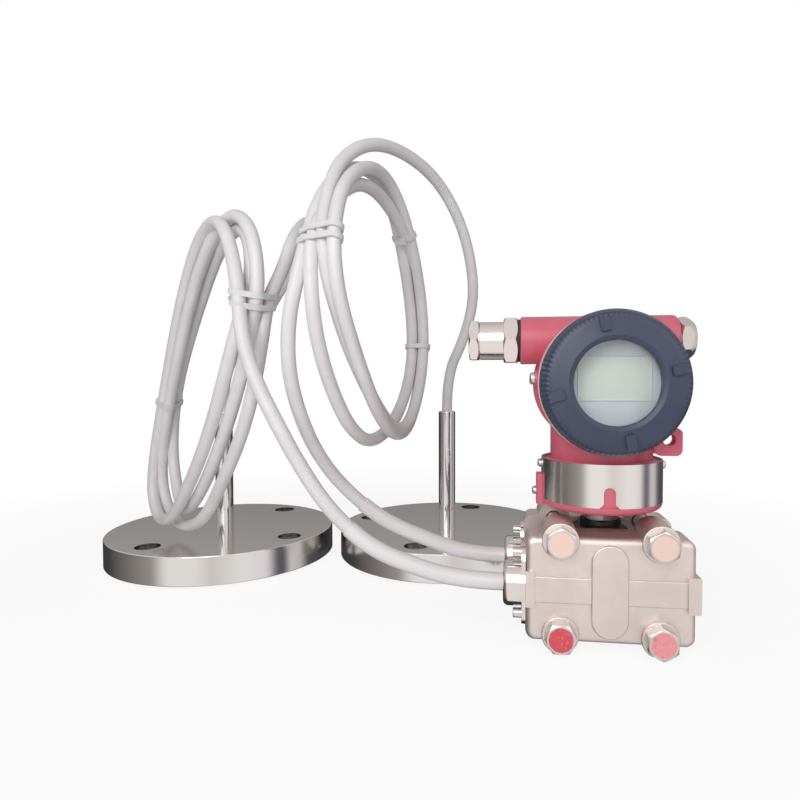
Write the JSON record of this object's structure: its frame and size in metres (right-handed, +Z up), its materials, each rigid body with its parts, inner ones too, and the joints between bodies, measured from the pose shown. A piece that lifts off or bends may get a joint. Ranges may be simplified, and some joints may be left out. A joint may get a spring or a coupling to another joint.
{
  "type": "differential pressure transmitter with remote seals",
  "caption": "Transmitter with a turning head, a windowed display and flanged measuring body, joined by coiled capillaries to remote seal flanges with tall stems.",
  "frame": {"origin": "on the floor, under the middle of the box around everything but the capillaries", "axes": "+X to the right along the measuring body and the conduit entries, +Y from the display to the rear cover, +Z up along the neck"},
  "size_m": [0.4612, 0.3066, 0.33],
  "materials": {
    "cast_stainless": "satin cast stainless steel, blasted",
    "polished_stainless": "turned and polished stainless steel",
    "capsule_steel": "black coated steel",
    "bolt_steel": "bright plated steel",
    "pink_enamel": "semi-gloss enamel on cast aluminium",
    "slate_enamel": "semi-gloss enamel on cast aluminium",
    "band_stainless": "brushed stainless strip",
    "neck_steel": "zinc plated steel",
    "brass_nickel": "nickel plated brass",
    "black_rubber": "matte",
    "pale_rubber": "matte",
    "gasket_ptfe": "matte",
    "clear_glass": "polished",
    "module_plastic": "matte moulded",
    "display_glass": "glossy",
    "board_green": "lacquered laminate",
    "terminal_plastic": "matte moulded",
    "screw_steel": "zinc plated",
    "grey_jacket": "satin extruded jacket",
    "grey_sleeve": "satin shrink sleeve",
    "white_nylon": "matte",
    "clear_nylon": "translucent"
  },
  "bodies": {
    "base": {"adapter_screws": "screw_steel", "capsule_gaskets": "gasket_ptfe", "flange_bolts": "bolt_steel", "flange_nuts": "bolt_steel", "front_capillary_adapter": "polished_stainless", "front_capillary_coil": "grey_jacket", "front_capillary_lead": "grey_jacket", "front_capillary_sleeve": "grey_sleeve", "front_capillary_tail": "grey_jacket", "front_process_flange": "cast_stainless", "isolating_diaphragms": "polished_stainless", "left_coil_clear_tie": "clear_nylon", "left_coil_main_ties": "white_nylon", "left_seal_diaphragm": "polished_stainless", "left_seal_flange": "polished_stainless", "left_seal_stem": "polished_stainless", "neck_adapter": "neck_steel", "rear_capillary_adapter": "polished_stainless", "rear_capillary_coil": "grey_jacket", "rear_capillary_lead": "grey_jacket", "rear_capillary_sleeve": "grey_sleeve", "rear_capillary_tail": "grey_jacket", "rear_process_flange": "cast_stainless", "right_coil_clear_tie": "clear_nylon", "right_coil_main_ties": "white_nylon", "right_coil_upper_tie": "white_nylon", "right_seal_diaphragm": "polished_stainless", "right_seal_flange": "polished_stainless", "right_seal_stem": "polished_stainless", "sensor_capsule": "capsule_steel"},
    "front_cover_body": {"front_cover": "slate_enamel", "window_glass": "clear_glass", "window_retainer": "capsule_steel"},
    "rear_cover_body": {"rear_cover": "slate_enamel"},
    "gland_nut_body": {"gland_nut": "brass_nickel"},
    "conduit_plug_body": {"conduit_plug": "brass_nickel"},
    "head": {"housing": "pink_enamel", "name_band": "band_stainless", "band_screws": "screw_steel", "earth_screw": "screw_steel", "head_lock_screw": "screw_steel", "front_cover_seal": "pale_rubber", "rear_cover_seal": "pale_rubber", "display_module": "module_plastic", "display_panel": "display_glass", "electronics_board": "board_green", "board_posts": "screw_steel", "terminal_block": "terminal_plastic", "terminal_screws": "screw_steel", "gland_washer": "black_rubber", "gland_body": "brass_nickel", "gland_grommet": "black_rubber"}
  },
  "joints": [
    {"name": "head_turn", "type": "hinge", "parent": "base", "child": "head", "pos_m": [0.17633, -0.09242, 0.09], "axis": [0, 0, 1], "range_deg": [-180, 180]},
    {"name": "front_cover_turn", "type": "hinge", "parent": "head", "child": "front_cover_body", "pos_m": [0.17633, -0.14142, 0.1523], "axis": [0, -1, 0], "continuous": true},
    {"name": "rear_cover_turn", "type": "hinge", "parent": "head", "child": "rear_cover_body", "pos_m": [0.17633, -0.04743, 0.1523], "axis": [0, 1, 0], "continuous": true},
    {"name": "gland_nut_turn", "type": "hinge", "parent": "head", "child": "gland_nut_body", "pos_m": [0.09732, -0.09242, 0.1791], "axis": [-1, 0, 0], "continuous": true},
    {"name": "conduit_plug_turn", "type": "hinge", "parent": "head", "child": "conduit_plug_body", "pos_m": [0.22432, -0.09242, 0.1791], "axis": [1, 0, 0], "continuous": true}
  ]
}
